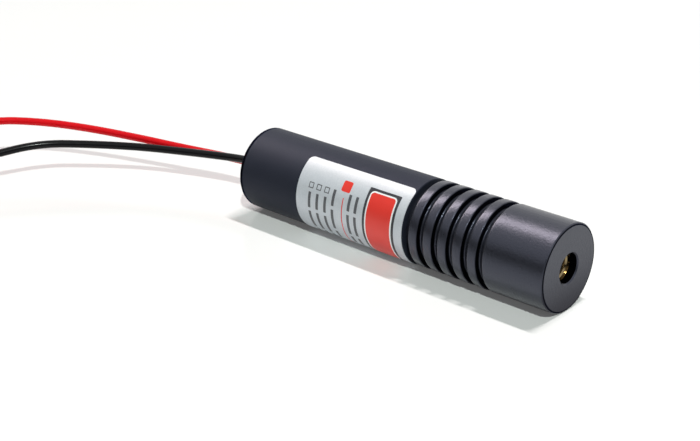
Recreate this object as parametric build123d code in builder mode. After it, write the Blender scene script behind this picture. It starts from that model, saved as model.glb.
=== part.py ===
"""Laser diode module in a turned barrel, with a red and a black lead wire.

Millimetres. +X runs along the beam and out of the aperture, +Z is up, and the origin is on the
surface that the module lies on, below the middle of the barrel.
"""

import math
import os

from build123d import *

# Barrel
barrel_diameter = 16.0
rear_tube_length = 40.6
head_length = 29.4
tube_wall = 1.5
edge_break = 0.25

# Cooling grooves of the head
groove_count = 6
groove_width = 1.35
land_width = 1.83
groove_depth = 1.2
land_edge_round = 0.15
groove_corner_round = 0.2

# Head inside
spigot_length = 6.0
spigot_wall = 1.0
front_wall = 1.6
aperture_diameter = 5.4
aperture_chamfer = 0.22

# Fits
slip_clearance = 0.05
thread_clearance = 0.05
soft_clearance = 0.1
overrun = 1.0

# Brass block that holds the diode and the lens cell
block_length = 15.0
block_wall = 1.0
cell_bore_depth = 10.0
neck_diameter = 4.6
neck_length = 1.2
ring_bore_diameter = 7.2
glue_groove_width = 2.0
glue_groove_depth = 0.3
block_chamfer = 0.3

# Lens cell, its lens and the ring that keeps the lens in
cell_length = 6.5
cell_setback = 0.3
cell_wall = 1.25
lens_edge_thickness = 1.4
lens_front_rise = 0.7
lens_stop_land = 0.55
keeper_setback = 0.2
keeper_length = 1.0
keeper_land = 0.7
keeper_chamfer = 0.25
cell_slot_width = 1.0
cell_slot_depth = 0.7
keeper_slot_width = 0.8
keeper_slot_depth = 0.4

# Spring that takes the play out of the cell's thread
spring_wire = 0.5
spring_side_gap = 0.55
spring_turns = 3

# Laser diode in its metal can
flange_diameter = 5.6
flange_thickness = 1.2
flange_notch_width = 0.4
flange_notch_depth = 0.4
post_width = 1.6
post_thickness = 0.7
post_height = 1.35
chip_length = 0.3
chip_width = 0.25
chip_thickness = 0.12
can_brim_diameter = 4.2
can_brim_thickness = 0.2
can_diameter = 3.55
can_height = 2.3
can_wall = 0.2
can_window_diameter = 1.6
window_thickness = 0.25
pin_diameter = 0.45
pin_length = 6.5
pin_circle_radius = 1.0
pin_angles = (30, 150, 270)
diode_ring_length = 2.0
diode_ring_opening = 4.4
diode_ring_slot_width = 0.9
diode_ring_slot_depth = 0.7

# Driver board
board_side_gap = 0.2
board_length = 34.0
board_thickness = 0.8
board_corner_radius = 0.8
board_front_gap = 0.5
liner_wall = 0.15
liner_end_gap = 0.2

# Parts on the driver board, each placed by the share of the board's length that lies in front of it
driver_length = 5.0
driver_width = 3.0
driver_height = 1.5
driver_draft = 4.0
driver_place_share = 0.309
driver_leg_pitch = 1.27
driver_leg_width = 0.4
driver_leg_reach = 0.9
driver_leg_thickness = 0.2
driver_leg_rise = 0.7
driver_legs_per_side = 4
transistor_length = 2.9
transistor_width = 1.3
transistor_height = 1.1
transistor_place_share = 0.153
transistor_tab_length = 0.5
transistor_tab_reach = 0.6
transistor_tab_thickness = 0.2
trimmer_side = 3.6
trimmer_height = 1.5
trimmer_corner = 0.3
trimmer_place_share = 0.512
rotor_diameter = 2.2
rotor_height = 0.5
rotor_slot_width = 0.45
rotor_slot_depth = 0.3
rotor_cross_length = 1.5
capacitor_diameter = 4.0
capacitor_height = 4.2
capacitor_base_height = 0.6
capacitor_base_side = 4.3
capacitor_base_chamfer = 0.8
capacitor_groove_depth = 0.15
capacitor_groove_rise = 0.9
capacitor_place_share = 0.682
rectifier_length = 2.7
rectifier_width = 1.6
rectifier_height = 1.2
rectifier_draft = 5.0
rectifier_tab_length = 0.45
rectifier_tab_width = 0.9
rectifier_tab_thickness = 0.4
rectifier_place_share = 0.832
rectifier_offset = 2.6
resistor_length = 1.6
resistor_width = 0.8
resistor_height = 0.45
resistor_place_share = 0.235
resistor_pitch_share = 0.135
resistor_rows = 4
chip_capacitor_length = 2.0
chip_capacitor_width = 1.25
chip_capacitor_height = 0.9
chip_capacitor_place_share = 0.418
chip_capacitor_pitch_share = 0.171
chip_part_edge_gap = 1.05

# Rear cap and the rubber grommet in it
cap_length = 4.0
cap_setback = 0.5
cap_web = 1.6
cap_rim_wall = 1.2
cap_chamfer = 0.3
cap_hole_diameter = 4.4
grommet_flange_diameter = 6.2
grommet_flange_thickness = 0.8
grommet_round = 0.3

# Leads
lead_diameter = 1.6
lead_pitch = 1.7
lead_exit_spacing = 2.0
lead_tilt = 40.0
lead_exit_run = 2.5
bend_share = 0.45
core_diameter = 0.7
core_overhang = 0.3
solder_dome_diameter = 2.2
pad_setback = 1.7
pad_spacing = 3.4
pin_solder_length = 1.8
pin_solder_width = 1.1
pin_solder_height = 0.75
bare_end_length = 5.0

# Coil of spare lead, black turns inside red ones, and the tie round it
coil_x = -85.4
coil_y = -50.5
coil_inner_turn_radius = 7.25
coil_round = 0.6
coil_tail_angle = 270.0
red_full_turns = 1
red_join_angle = 210.0
red_join_run = 7.5
red_tail_length = 22.0
black_full_turns = 2
black_join_angle = 155.7
black_join_run = 8.5
black_tail_length = 8.0
tie_angle = 60.0
tie_thickness = 0.4
tie_width = 2.4
tie_gap = 0.12
tie_head_length = 2.4
tie_head_width = 3.2
tie_head_height = 2.8
tie_head_round = 0.4

# Identification sticker of foil, on its adhesive
label_length = 25.3
label_setback = 15.2
label_thickness = 0.08
label_adhesive = 0.02
label_top_angle = 25.75
label_bottom_angle = 165.0
label_corner_radius = 1.0

# Derived places, along the beam and away from its axis
barrel_radius = barrel_diameter / 2
tube_bore_diameter = barrel_diameter - 2 * tube_wall
block_bore_diameter = tube_bore_diameter - 2 * spigot_wall
cell_bore_diameter = block_bore_diameter - 2 * block_wall
lens_diameter = cell_bore_diameter - 2 * (thread_clearance + cell_wall + slip_clearance)
lens_stop_diameter = lens_diameter - 2 * lens_stop_land
keeper_opening = lens_diameter - 2 * keeper_land
spring_mean_diameter = cell_bore_diameter - spring_wire - 2 * spring_side_gap
board_width = block_bore_diameter - 2 * board_side_gap
chip_part_offset = board_width / 2 - chip_part_edge_gap
barrel_length = rear_tube_length + head_length
rear_x = -barrel_length / 2
front_x = barrel_length / 2
joint_x = rear_x + rear_tube_length
tube_bore_radius = tube_bore_diameter / 2
plug_radius = tube_bore_radius - slip_clearance
groove_radius = barrel_radius - groove_depth
groove_pitch = groove_width + land_width
block_bore_radius = block_bore_diameter / 2
block_radius = block_bore_radius - slip_clearance
wall_x = front_x - front_wall
spigot_x = joint_x - spigot_length
block_rear_x = wall_x - block_length
cell_bore_radius = cell_bore_diameter / 2
cell_bore_floor_x = wall_x - cell_bore_depth
seat_x = cell_bore_floor_x - neck_length
flange_rear_x = seat_x - flange_thickness
diode_ring_rear_x = flange_rear_x - diode_ring_length
cell_front_x = wall_x - cell_setback
cell_rear_x = cell_front_x - cell_length
keeper_front_x = cell_front_x - keeper_setback
lens_edge_x = keeper_front_x - keeper_length
lens_rear_x = lens_edge_x - lens_edge_thickness
lens_radius = lens_diameter / 2
lens_seat_radius = lens_radius + slip_clearance
can_top_x = seat_x + can_height
cap_x = rear_x + cap_setback
cap_web_x = cap_x + cap_web
cap_inner_x = cap_x + cap_length
exit_x = cap_x - grommet_flange_thickness
grommet_inner_x = cap_web_x + grommet_flange_thickness
board_front_x = block_rear_x - board_front_gap
board_rear_x = board_front_x - board_length
lead_radius = lead_diameter / 2

# The top pins of the diode rest on the board and the bottom pin holds it from below
upper_pin_rise = pin_circle_radius * math.sin(math.radians(min(pin_angles)))
board_middle_rise = (upper_pin_rise - pin_circle_radius) / 2
board_top_rise = board_middle_rise + board_thickness / 2
board_bottom_rise = board_middle_rise - board_thickness / 2

full_turn = 360
right_angle = full_turn / 4
beam = Axis((0, 0, barrel_radius), (1, 0, 0))
side = Plane(origin=(0, 0, barrel_radius), x_dir=(1, 0, 0), z_dir=(0, -1, 0))
board_top = Plane.XY.offset(barrel_radius + board_top_rise)


def across(place):
    """Plane square to the beam at a place along it, facing the front, with its y axis up."""
    return Plane(origin=(place, 0, barrel_radius), x_dir=(0, 1, 0), z_dir=(1, 0, 0))


def outline(*points):
    """Face with the given (place along the beam, radius) corners, to be turned about the beam."""
    with BuildSketch(side) as profile:
        with BuildLine():
            Polyline(*points, close=True)
        make_face()
    return profile.sketch.faces()


def ring_outline(rear, front, inner, outer):
    """Outline of a plain ring between two places along the beam and two radii."""
    return outline((rear, inner), (rear, outer), (front, outer), (front, inner))


def circles_at(part, radius, place):
    """Round edges of a turned part with the given radius, at the given place along the beam."""
    reach = slip_clearance / 2
    round_edges = part.edges().filter_by(GeomType.CIRCLE)
    near = [edge for edge in round_edges if abs(edge.center().X - place) < reach]
    return [edge for edge in near if abs(edge.radius - radius) < reach]


def lead_offset(sign):
    """Height and side offset of a lead in the grommet: red is +1, black is -1."""
    shift = sign * lead_exit_spacing / 2
    tilt = math.radians(lead_tilt)
    return shift * math.cos(tilt), barrel_radius - shift * math.sin(tilt)


def bend_radii(route):
    """Radius of each bend of a lead, as large as the two runs beside it allow."""
    radii = []
    points = [Vector(*point) for point in route]
    for before, corner, after in zip(points, points[1:], points[2:]):
        turn = math.radians((corner - before).get_angle(after - corner))
        shorter = min((corner - before).length, (after - corner).length)
        radii.append(bend_share * shorter / math.tan(turn / 2))
    return radii


def report_lead(name, route, part):
    """Prints a lead's bends and compares its volume with its section times its length."""
    radii = bend_radii(route)
    with BuildLine() as path:
        FilletPolyline(*route, radius=radii)
    length = path.wires()[0].length
    expected = math.pi * lead_radius**2 * length
    print(name, "length", round(length, 1), "bend radii", [round(radius) for radius in radii])
    print(name, "volume", round(part.volume, 2), "section times length", round(expected, 2))


# Rear tube, which holds the driver board
with BuildPart() as rear_tube:
    revolve(ring_outline(rear_x, joint_x, tube_bore_radius, barrel_radius), axis=beam)
    rims = circles_at(rear_tube, barrel_radius, rear_x) + circles_at(rear_tube, tube_bore_radius, rear_x)
    chamfer(rims, edge_break)
    chamfer(circles_at(rear_tube, barrel_radius, joint_x), edge_break / 2)
rear_tube.part.label = "rear_tube"

# Finned head with its spigot, stepped bore and aperture
with BuildPart() as heatsink_head:
    revolve(
        outline(
            (spigot_x, 0),
            (spigot_x, plug_radius),
            (joint_x, plug_radius),
            (joint_x, barrel_radius),
            (front_x, barrel_radius),
            (front_x, 0),
        ),
        axis=beam,
    )
    for index in range(groove_count):
        groove_x = joint_x + index * groove_pitch
        groove = ring_outline(groove_x, groove_x + groove_width, groove_radius, barrel_radius + overrun)
        revolve(groove, axis=beam, mode=Mode.SUBTRACT)
        corners = circles_at(heatsink_head, groove_radius, groove_x + groove_width)
        if index > 0:
            corners += circles_at(heatsink_head, groove_radius, groove_x)
        fillet(corners, groove_corner_round)
    revolve(ring_outline(spigot_x - overrun, wall_x, 0, block_bore_radius), axis=beam, mode=Mode.SUBTRACT)
    with BuildSketch(across(wall_x - overrun)):
        Circle(aperture_diameter / 2)
    extrude(amount=front_wall + 2 * overrun, mode=Mode.SUBTRACT)
    for index in range(groove_count):
        groove_x = joint_x + index * groove_pitch
        land_edges = circles_at(heatsink_head, barrel_radius, groove_x + groove_width)
        if index > 0:
            land_edges += circles_at(heatsink_head, barrel_radius, groove_x)
        fillet(land_edges, land_edge_round)
    chamfer(circles_at(heatsink_head, barrel_radius, front_x), edge_break)
    chamfer(circles_at(heatsink_head, aperture_diameter / 2, front_x), aperture_chamfer)
    chamfer(circles_at(heatsink_head, plug_radius, spigot_x), edge_break)
heatsink_head.part.label = "heatsink_head"

# Rear cap, a cup pressed into the tube with a hole for the grommet
with BuildPart() as rear_cap:
    revolve(ring_outline(cap_x, cap_inner_x, 0, plug_radius), axis=beam)
    cup = ring_outline(cap_web_x, cap_inner_x + overrun, 0, plug_radius - cap_rim_wall)
    revolve(cup, axis=beam, mode=Mode.SUBTRACT)
    with BuildSketch(across(cap_x - overrun)):
        Circle(cap_hole_diameter / 2)
    extrude(amount=cap_web + 2 * overrun, mode=Mode.SUBTRACT)
    chamfer(circles_at(rear_cap, plug_radius, cap_x), cap_chamfer)
rear_cap.part.label = "rear_cap"

# Rubber grommet, a waisted bush with two holes for the leads
grommet_neck_radius = cap_hole_diameter / 2 - slip_clearance
grommet_flange_radius = grommet_flange_diameter / 2
with BuildPart() as cable_grommet:
    revolve(ring_outline(exit_x, grommet_inner_x, 0, grommet_neck_radius), axis=beam)
    revolve(ring_outline(exit_x, cap_x, 0, grommet_flange_radius), axis=beam)
    revolve(ring_outline(cap_web_x, grommet_inner_x, 0, grommet_flange_radius), axis=beam)
    fillet(circles_at(cable_grommet, grommet_flange_radius, exit_x), grommet_round)
    with BuildSketch(across(exit_x - overrun)):
        with PolarLocations(lead_exit_spacing / 2, 2, start_angle=-lead_tilt):
            Circle(lead_radius + slip_clearance)
    extrude(amount=grommet_inner_x - exit_x + 2 * overrun, mode=Mode.SUBTRACT)
cable_grommet.part.label = "cable_grommet"

# Brass block, bored from the front for the lens cell and from the rear for the diode
flange_seat_radius = flange_diameter / 2 + slip_clearance
ring_bore_radius = ring_bore_diameter / 2
with BuildPart() as diode_block:
    revolve(ring_outline(block_rear_x, wall_x, 0, block_radius), axis=beam)
    cell_bore = ring_outline(cell_bore_floor_x, wall_x + overrun, 0, cell_bore_radius)
    revolve(cell_bore, axis=beam, mode=Mode.SUBTRACT)
    neck = ring_outline(seat_x - overrun, wall_x, 0, neck_diameter / 2)
    revolve(neck, axis=beam, mode=Mode.SUBTRACT)
    flange_seat = ring_outline(flange_rear_x - overrun, seat_x, 0, flange_seat_radius)
    revolve(flange_seat, axis=beam, mode=Mode.SUBTRACT)
    ring_bore = ring_outline(block_rear_x - overrun, flange_rear_x, 0, ring_bore_radius)
    revolve(ring_bore, axis=beam, mode=Mode.SUBTRACT)
    glue_x = (block_rear_x + wall_x - glue_groove_width) / 2
    glue_radius = block_radius - glue_groove_depth
    glue_groove = ring_outline(glue_x, glue_x + glue_groove_width, glue_radius, block_bore_radius + overrun)
    revolve(glue_groove, axis=beam, mode=Mode.SUBTRACT)
    chamfer(circles_at(diode_block, block_radius, block_rear_x), block_chamfer)
    chamfer(circles_at(diode_block, cell_bore_radius, wall_x), block_chamfer)
diode_block.part.label = "diode_block"

# Lens cell, a threaded brass barrel with a lens pocket, a stop and two spanner slots
cell_radius = cell_bore_radius - thread_clearance
with BuildPart() as lens_cell:
    revolve(ring_outline(cell_rear_x, cell_front_x, lens_stop_diameter / 2, cell_radius), axis=beam)
    pocket = ring_outline(lens_rear_x, cell_front_x + overrun, 0, lens_seat_radius)
    revolve(pocket, axis=beam, mode=Mode.SUBTRACT)
    with BuildSketch(across(cell_front_x - cell_slot_depth)):
        Rectangle(cell_bore_diameter + overrun, cell_slot_width)
    extrude(amount=cell_slot_depth + overrun, mode=Mode.SUBTRACT)
lens_cell.part.label = "lens_cell"

# Collimating lens, a disc with a flat rim, domed in front inside the keeper's opening
dome_radius = keeper_opening / 2 - slip_clearance
dome_curvature_radius = (dome_radius**2 + lens_front_rise**2) / (2 * lens_front_rise)
with BuildPart() as collimating_lens:
    with BuildSketch(side):
        with BuildLine():
            dome_top = (lens_edge_x + lens_front_rise, 0)
            dome = RadiusArc((lens_edge_x, dome_radius), dome_top, dome_curvature_radius)
            rim_corners = [(lens_rear_x, 0), (lens_rear_x, lens_radius), (lens_edge_x, lens_radius)]
            Polyline(dome @ 1, *rim_corners, dome @ 0)
        make_face()
    revolve(axis=beam)
collimating_lens.part.label = "collimating_lens"

# Keeper ring that holds the lens by its rim
with BuildPart() as lens_keeper:
    revolve(ring_outline(lens_edge_x, keeper_front_x, keeper_opening / 2, lens_radius), axis=beam)
    chamfer(circles_at(lens_keeper, keeper_opening / 2, keeper_front_x), keeper_chamfer)
    with BuildSketch(across(keeper_front_x - keeper_slot_depth)):
        Rectangle(keeper_slot_width, lens_diameter + overrun)
    extrude(amount=keeper_slot_depth + overrun, mode=Mode.SUBTRACT)
lens_keeper.part.label = "lens_keeper"

# Spring between the floor of the cell bore and the lens cell
spring_start_x = cell_bore_floor_x + spring_wire / 2 + slip_clearance
spring_end_x = cell_rear_x - spring_wire / 2 - slip_clearance
spring_rise = spring_end_x - spring_start_x
with BuildPart() as focus_spring:
    with BuildLine():
        coil_line = Helix(
            pitch=spring_rise / spring_turns,
            height=spring_rise,
            radius=spring_mean_diameter / 2,
            center=(spring_start_x, 0, barrel_radius),
            direction=(1, 0, 0),
        )
    with BuildSketch(Plane(origin=coil_line @ 0, z_dir=coil_line % 0)):
        Circle(spring_wire / 2)
    sweep(path=coil_line, is_frenet=True)
focus_spring.part.label = "focus_spring"

# Diode header, a notched flange with the post that carries the chip
flange_radius = flange_diameter / 2
with BuildPart() as diode_header:
    revolve(ring_outline(flange_rear_x, seat_x, 0, flange_radius), axis=beam)
    with BuildSketch(across(flange_rear_x)):
        with PolarLocations(flange_radius, 2, start_angle=0):
            Rectangle(2 * flange_notch_depth, flange_notch_width)
    extrude(amount=flange_thickness, mode=Mode.SUBTRACT)
    with BuildSketch(across(seat_x)):
        with Locations((0, -post_thickness / 2 - chip_thickness / 2)):
            Rectangle(post_width, post_thickness)
    extrude(amount=post_height)
diode_header.part.label = "diode_header"

# Laser chip on top of the post, with the beam axis through its middle
with BuildPart() as laser_chip:
    with BuildSketch(across(seat_x + post_height - chip_length)):
        Rectangle(chip_width, chip_thickness)
    extrude(amount=chip_length)
laser_chip.part.label = "laser_chip"

# Diode can, a drawn cap with a brim and a window hole
can_radius = can_diameter / 2
with BuildPart() as diode_can:
    revolve(ring_outline(seat_x, seat_x + can_brim_thickness, 0, can_brim_diameter / 2), axis=beam)
    revolve(ring_outline(seat_x, can_top_x, 0, can_radius), axis=beam)
    hollow = ring_outline(seat_x - overrun, can_top_x - can_wall, 0, can_radius - can_wall)
    revolve(hollow, axis=beam, mode=Mode.SUBTRACT)
    with BuildSketch(across(can_top_x - can_wall - overrun)):
        Circle(can_window_diameter / 2)
    extrude(amount=can_wall + 2 * overrun, mode=Mode.SUBTRACT)
diode_can.part.label = "diode_can"

# Window sealed inside the can's top
with BuildPart() as diode_window:
    window_front_x = can_top_x - can_wall
    window_radius = can_radius - can_wall - slip_clearance
    revolve(ring_outline(window_front_x - window_thickness, window_front_x, 0, window_radius), axis=beam)
diode_window.part.label = "diode_window"

# Diode pins, which straddle the front edge of the board
with BuildPart() as diode_pins:
    with BuildSketch(across(flange_rear_x - pin_length)):
        for angle in pin_angles:
            with Locations(Vector(pin_circle_radius, 0).rotate(Axis.Z, angle)):
                Circle(pin_diameter / 2)
    extrude(amount=pin_length)
diode_pins.part.label = "diode_pins"

# Threaded ring that presses the diode's flange onto its seat
with BuildPart() as diode_ring:
    ring_radius = ring_bore_radius - thread_clearance
    revolve(ring_outline(diode_ring_rear_x, flange_rear_x, diode_ring_opening / 2, ring_radius), axis=beam)
    with BuildSketch(across(diode_ring_rear_x - overrun)):
        Rectangle(ring_bore_diameter + overrun, diode_ring_slot_width)
    extrude(amount=diode_ring_slot_depth + overrun, mode=Mode.SUBTRACT)
diode_ring.part.label = "diode_ring"

# Insulating liner of the rear tube
liner_radius = tube_bore_radius - slip_clearance
liner_rear_x = cap_inner_x + liner_end_gap
liner_front_x = spigot_x - liner_end_gap
with BuildPart() as board_liner:
    revolve(ring_outline(liner_rear_x, liner_front_x, liner_radius - liner_wall, liner_radius), axis=beam)
board_liner.part.label = "board_liner"

# Driver board, whose long edges run in the bore of the head
with BuildPart() as driver_board:
    with BuildSketch(Plane.XY.offset(barrel_radius + board_bottom_rise)):
        with Locations(((board_front_x + board_rear_x) / 2, 0)):
            RectangleRounded(board_length, board_width, board_corner_radius)
    extrude(amount=board_thickness)
driver_board.part.label = "driver_board"


def on_board(place_share, offset=0):
    """Place on the board, measured back from its front edge and out from its middle line."""
    return (board_front_x - place_share * board_length, offset)


# Driver circuit with gull-wing legs
with BuildPart() as driver_chip:
    with BuildSketch(board_top.offset(driver_leg_thickness)):
        with Locations(on_board(driver_place_share)):
            Rectangle(driver_length, driver_width)
    extrude(amount=driver_height - driver_leg_thickness, taper=driver_draft)
    with BuildSketch(board_top):
        with Locations(on_board(driver_place_share)):
            with GridLocations(driver_leg_pitch, driver_width + driver_leg_reach, driver_legs_per_side, 2):
                Rectangle(driver_leg_width, driver_leg_reach)
    extrude(amount=driver_leg_thickness)
    with BuildSketch(board_top):
        with Locations(on_board(driver_place_share)):
            with GridLocations(driver_leg_pitch, driver_width, driver_legs_per_side, 2):
                Rectangle(driver_leg_width, 2 * driver_leg_thickness)
    extrude(amount=driver_leg_rise)
driver_chip.part.label = "driver_chip"

# Power transistor with three tabs
with BuildPart() as power_transistor:
    with BuildSketch(board_top.offset(transistor_tab_thickness)):
        with Locations(on_board(transistor_place_share)):
            Rectangle(transistor_width, transistor_length)
    extrude(amount=transistor_height - transistor_tab_thickness)
    fillet(power_transistor.edges().group_by(Axis.Z)[-1], transistor_tab_thickness / 2)
    with BuildSketch(board_top):
        with Locations(on_board(transistor_place_share)):
            with Locations((transistor_width / 2, 0)):
                with GridLocations(0, transistor_length - transistor_tab_length, 1, 2):
                    Rectangle(2 * transistor_tab_reach, transistor_tab_length)
            with Locations((-transistor_width / 2, 0)):
                Rectangle(2 * transistor_tab_reach, transistor_tab_length)
    extrude(amount=transistor_tab_thickness)
power_transistor.part.label = "power_transistor"

# Trimmer that sets the diode current, with its slotted rotor
with BuildPart() as trimmer_body:
    with BuildSketch(board_top):
        with Locations(on_board(trimmer_place_share)):
            RectangleRounded(trimmer_side, trimmer_side, trimmer_corner)
    extrude(amount=trimmer_height)
    chamfer(trimmer_body.faces().sort_by(Axis.Z)[-1].edges(), trimmer_corner / 2)
trimmer_body.part.label = "trimmer_body"

with BuildPart() as trimmer_rotor:
    with BuildSketch(board_top.offset(trimmer_height)):
        with Locations(on_board(trimmer_place_share)):
            Circle(rotor_diameter / 2)
    extrude(amount=rotor_height)
    with BuildSketch(board_top.offset(trimmer_height + rotor_height - rotor_slot_depth)):
        with Locations(on_board(trimmer_place_share)):
            Rectangle(rotor_diameter, rotor_slot_width)
            Rectangle(rotor_slot_width, rotor_cross_length)
    extrude(amount=rotor_slot_depth + overrun, mode=Mode.SUBTRACT)
trimmer_rotor.part.label = "trimmer_rotor"

# Filter capacitor, a rolled can on a square base with two cut corners
with BuildPart() as filter_capacitor:
    with BuildSketch(board_top):
        with Locations(on_board(capacitor_place_share)):
            Rectangle(capacitor_base_side, capacitor_base_side)
        chamfer(vertices().group_by(Axis.X)[0], capacitor_base_chamfer)
    extrude(amount=capacitor_base_height)
    with BuildSketch(board_top.offset(capacitor_base_height)):
        with Locations(on_board(capacitor_place_share)):
            Circle(capacitor_diameter / 2)
    extrude(amount=capacitor_height - capacitor_base_height)
    fillet(filter_capacitor.faces().sort_by(Axis.Z)[-1].edges(), 2 * capacitor_groove_depth)
    with BuildSketch(board_top.offset(capacitor_base_height + capacitor_groove_rise)):
        with Locations(on_board(capacitor_place_share)):
            Circle(capacitor_diameter / 2 + overrun)
            Circle(capacitor_diameter / 2 - capacitor_groove_depth, mode=Mode.SUBTRACT)
    extrude(amount=2 * capacitor_groove_depth, mode=Mode.SUBTRACT)
filter_capacitor.part.label = "filter_capacitor"

# Rectifier that guards against swapped leads
with BuildPart() as guard_rectifier:
    with BuildSketch(board_top.offset(rectifier_tab_thickness / 2)):
        with Locations(on_board(rectifier_place_share, -rectifier_offset)):
            Rectangle(rectifier_length, rectifier_width)
    extrude(amount=rectifier_height, taper=rectifier_draft)
    with BuildSketch(board_top):
        with Locations(on_board(rectifier_place_share, -rectifier_offset)):
            with GridLocations(rectifier_length, 0, 2, 1):
                Rectangle(2 * rectifier_tab_length, rectifier_tab_width)
    extrude(amount=rectifier_tab_thickness)
guard_rectifier.part.label = "guard_rectifier"

# Chip resistors along one edge and chip capacitors along the other
with BuildPart() as chip_resistors:
    with BuildSketch(board_top):
        for row in range(resistor_rows):
            with Locations(on_board(resistor_place_share + row * resistor_pitch_share, chip_part_offset)):
                Rectangle(resistor_length, resistor_width)
    extrude(amount=resistor_height)
chip_resistors.part.label = "chip_resistors"

with BuildPart() as chip_capacitors:
    with BuildSketch(board_top):
        for row in range(2):
            place_share = chip_capacitor_place_share + row * chip_capacitor_pitch_share
            with Locations(on_board(place_share, -chip_part_offset)):
                Rectangle(chip_capacitor_length, chip_capacitor_width)
    extrude(amount=chip_capacitor_height)
chip_capacitors.part.label = "chip_capacitors"

# Stripped ends of the leads on their pads at the rear of the board
pad_x = board_rear_x + pad_setback
core_rear_x = board_rear_x - core_overhang
core_length = pad_x + solder_dome_diameter / 2 - core_rear_x
core_radius = core_diameter / 2
core_z = barrel_radius + board_top_rise + core_radius
with BuildPart() as lead_cores:
    with BuildSketch(Plane.YZ.offset(core_rear_x)):
        with Locations((0, core_z)):
            with GridLocations(pad_spacing, 0, 2, 1):
                Circle(core_radius)
    extrude(amount=core_length)
lead_cores.part.label = "lead_cores"

# Solder, domed over the lead pads and run along the diode pins
with BuildPart() as solder_joints:
    with Locations((pad_x, 0, barrel_radius + board_top_rise)):
        with GridLocations(0, pad_spacing, 1, 2):
            Sphere(solder_dome_diameter / 2, arc_size1=0)
    pin_mid_x = board_front_x - pin_solder_length / 2
    for angle in pin_angles:
        pin_place = Vector(pin_circle_radius, 0).rotate(Axis.Z, angle)
        surface = board_top_rise if pin_place.Y > 0 else board_bottom_rise
        with BuildSketch(across(pin_mid_x - pin_solder_length)):
            with Locations((pin_place.X, surface)):
                Ellipse(pin_solder_width / 2, pin_solder_height)
        extrude(amount=pin_solder_length)
    add(driver_board.part, mode=Mode.SUBTRACT)
    add(diode_pins.part, mode=Mode.SUBTRACT)
    add(lead_cores.part, mode=Mode.SUBTRACT)
solder_joints.part.label = "solder_joints"

# Leads inside the rear tube, from the solder pads to the outer face of the grommet
red_side, red_height = lead_offset(1)
black_side, black_height = lead_offset(-1)
slack_x = (core_rear_x + grommet_inner_x) / 2


def inside_route(side_place, height, pad_side):
    """Route of a lead from the grommet's outer face to the board, with a little slack."""
    return [
        (exit_x, side_place, height),
        (grommet_inner_x + lead_diameter, side_place, height),
        (slack_x, (side_place + pad_side) / 2, core_z + lead_diameter),
        (core_rear_x - 2 * lead_diameter, pad_side, core_z),
        (core_rear_x, pad_side, core_z),
    ]


red_inside_route = inside_route(red_side, red_height, pad_spacing / 2)
black_inside_route = inside_route(black_side, black_height, -pad_spacing / 2)

with BuildPart() as red_lead_inside:
    with BuildLine() as red_inside_line:
        FilletPolyline(*red_inside_route, radius=bend_radii(red_inside_route))
    with BuildSketch(Plane(origin=red_inside_line.line @ 0, z_dir=red_inside_line.line % 0)):
        Circle(lead_radius)
    sweep(path=red_inside_line.wires()[0])
red_lead_inside.part.label = "red_lead_inside"

with BuildPart() as black_lead_inside:
    with BuildLine() as black_inside_line:
        FilletPolyline(*black_inside_route, radius=bend_radii(black_inside_route))
    with BuildSketch(Plane(origin=black_inside_line.line @ 0, z_dir=black_inside_line.line % 0)):
        Circle(lead_radius)
    sweep(path=black_inside_line.wires()[0])
black_lead_inside.part.label = "black_lead_inside"

# Coil of spare lead on the surface, one ring of the outer shape of all its turns, with two tails
red_turns = red_full_turns + (coil_tail_angle - red_join_angle) / full_turn
black_turns = black_full_turns + (coil_tail_angle - black_join_angle) / full_turn
coil_bottom = tie_thickness + tie_gap
coil_lower_z = coil_bottom + lead_radius
red_join_z = coil_lower_z + red_turns * lead_pitch
black_join_z = coil_lower_z + black_turns * lead_pitch
coil_outer_turn_radius = coil_inner_turn_radius + lead_pitch
coil_middle_radius = (coil_inner_turn_radius + coil_outer_turn_radius) / 2
coil_section_width = lead_pitch + lead_diameter
coil_section_height = max(red_turns, black_turns) * lead_pitch + lead_diameter
coil_middle_z = coil_bottom + coil_section_height / 2
coil_axis = Axis((coil_x, coil_y, 0), (0, 0, 1))


def on_coil(turn_radius, angle, height):
    """Point on a turn of the coil, at an angle round it."""
    turn = math.radians(angle)
    return (coil_x + turn_radius * math.cos(turn), coil_y + turn_radius * math.sin(turn), height)


def before_coil(turn_radius, angle, height, run):
    """Point a run's length ahead of where a lead joins the coil, on the line that it comes in on."""
    x, y, z = on_coil(turn_radius, angle, height)
    turn = math.radians(angle)
    return (x + run * math.sin(turn), y - run * math.cos(turn), z)


def tail_plane(turn_radius):
    """Plane across a lead's tail where it leaves its lowest turn, facing along the tail."""
    turn = math.radians(coil_tail_angle)
    start = on_coil(turn_radius, coil_tail_angle, coil_lower_z)
    return Plane(origin=start, x_dir=(0, 0, 1), z_dir=(-math.sin(turn), math.cos(turn), 0))


red_tail_plane = tail_plane(coil_outer_turn_radius)
black_tail_plane = tail_plane(coil_inner_turn_radius)
with BuildPart() as lead_coil:
    with BuildSketch(Plane(origin=(coil_x, coil_y, coil_middle_z), x_dir=(1, 0, 0), z_dir=(0, -1, 0))):
        with Locations((coil_middle_radius, 0)):
            RectangleRounded(coil_section_width, coil_section_height, coil_round)
    revolve(axis=coil_axis)
    with BuildSketch(red_tail_plane):
        Circle(lead_radius)
    extrude(amount=red_tail_length)
    with BuildSketch(black_tail_plane):
        Circle(lead_radius)
    extrude(amount=black_tail_length)
lead_coil.part.label = "lead_coil"

# Tinned bare ends of the two leads
with BuildPart() as red_bare_end:
    with BuildSketch(red_tail_plane.offset(red_tail_length)):
        Circle(core_radius)
    extrude(amount=bare_end_length)
    fillet(red_bare_end.edges().group_by(Axis.X)[-1], core_radius / 2)
red_bare_end.part.label = "red_bare_end"

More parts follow.
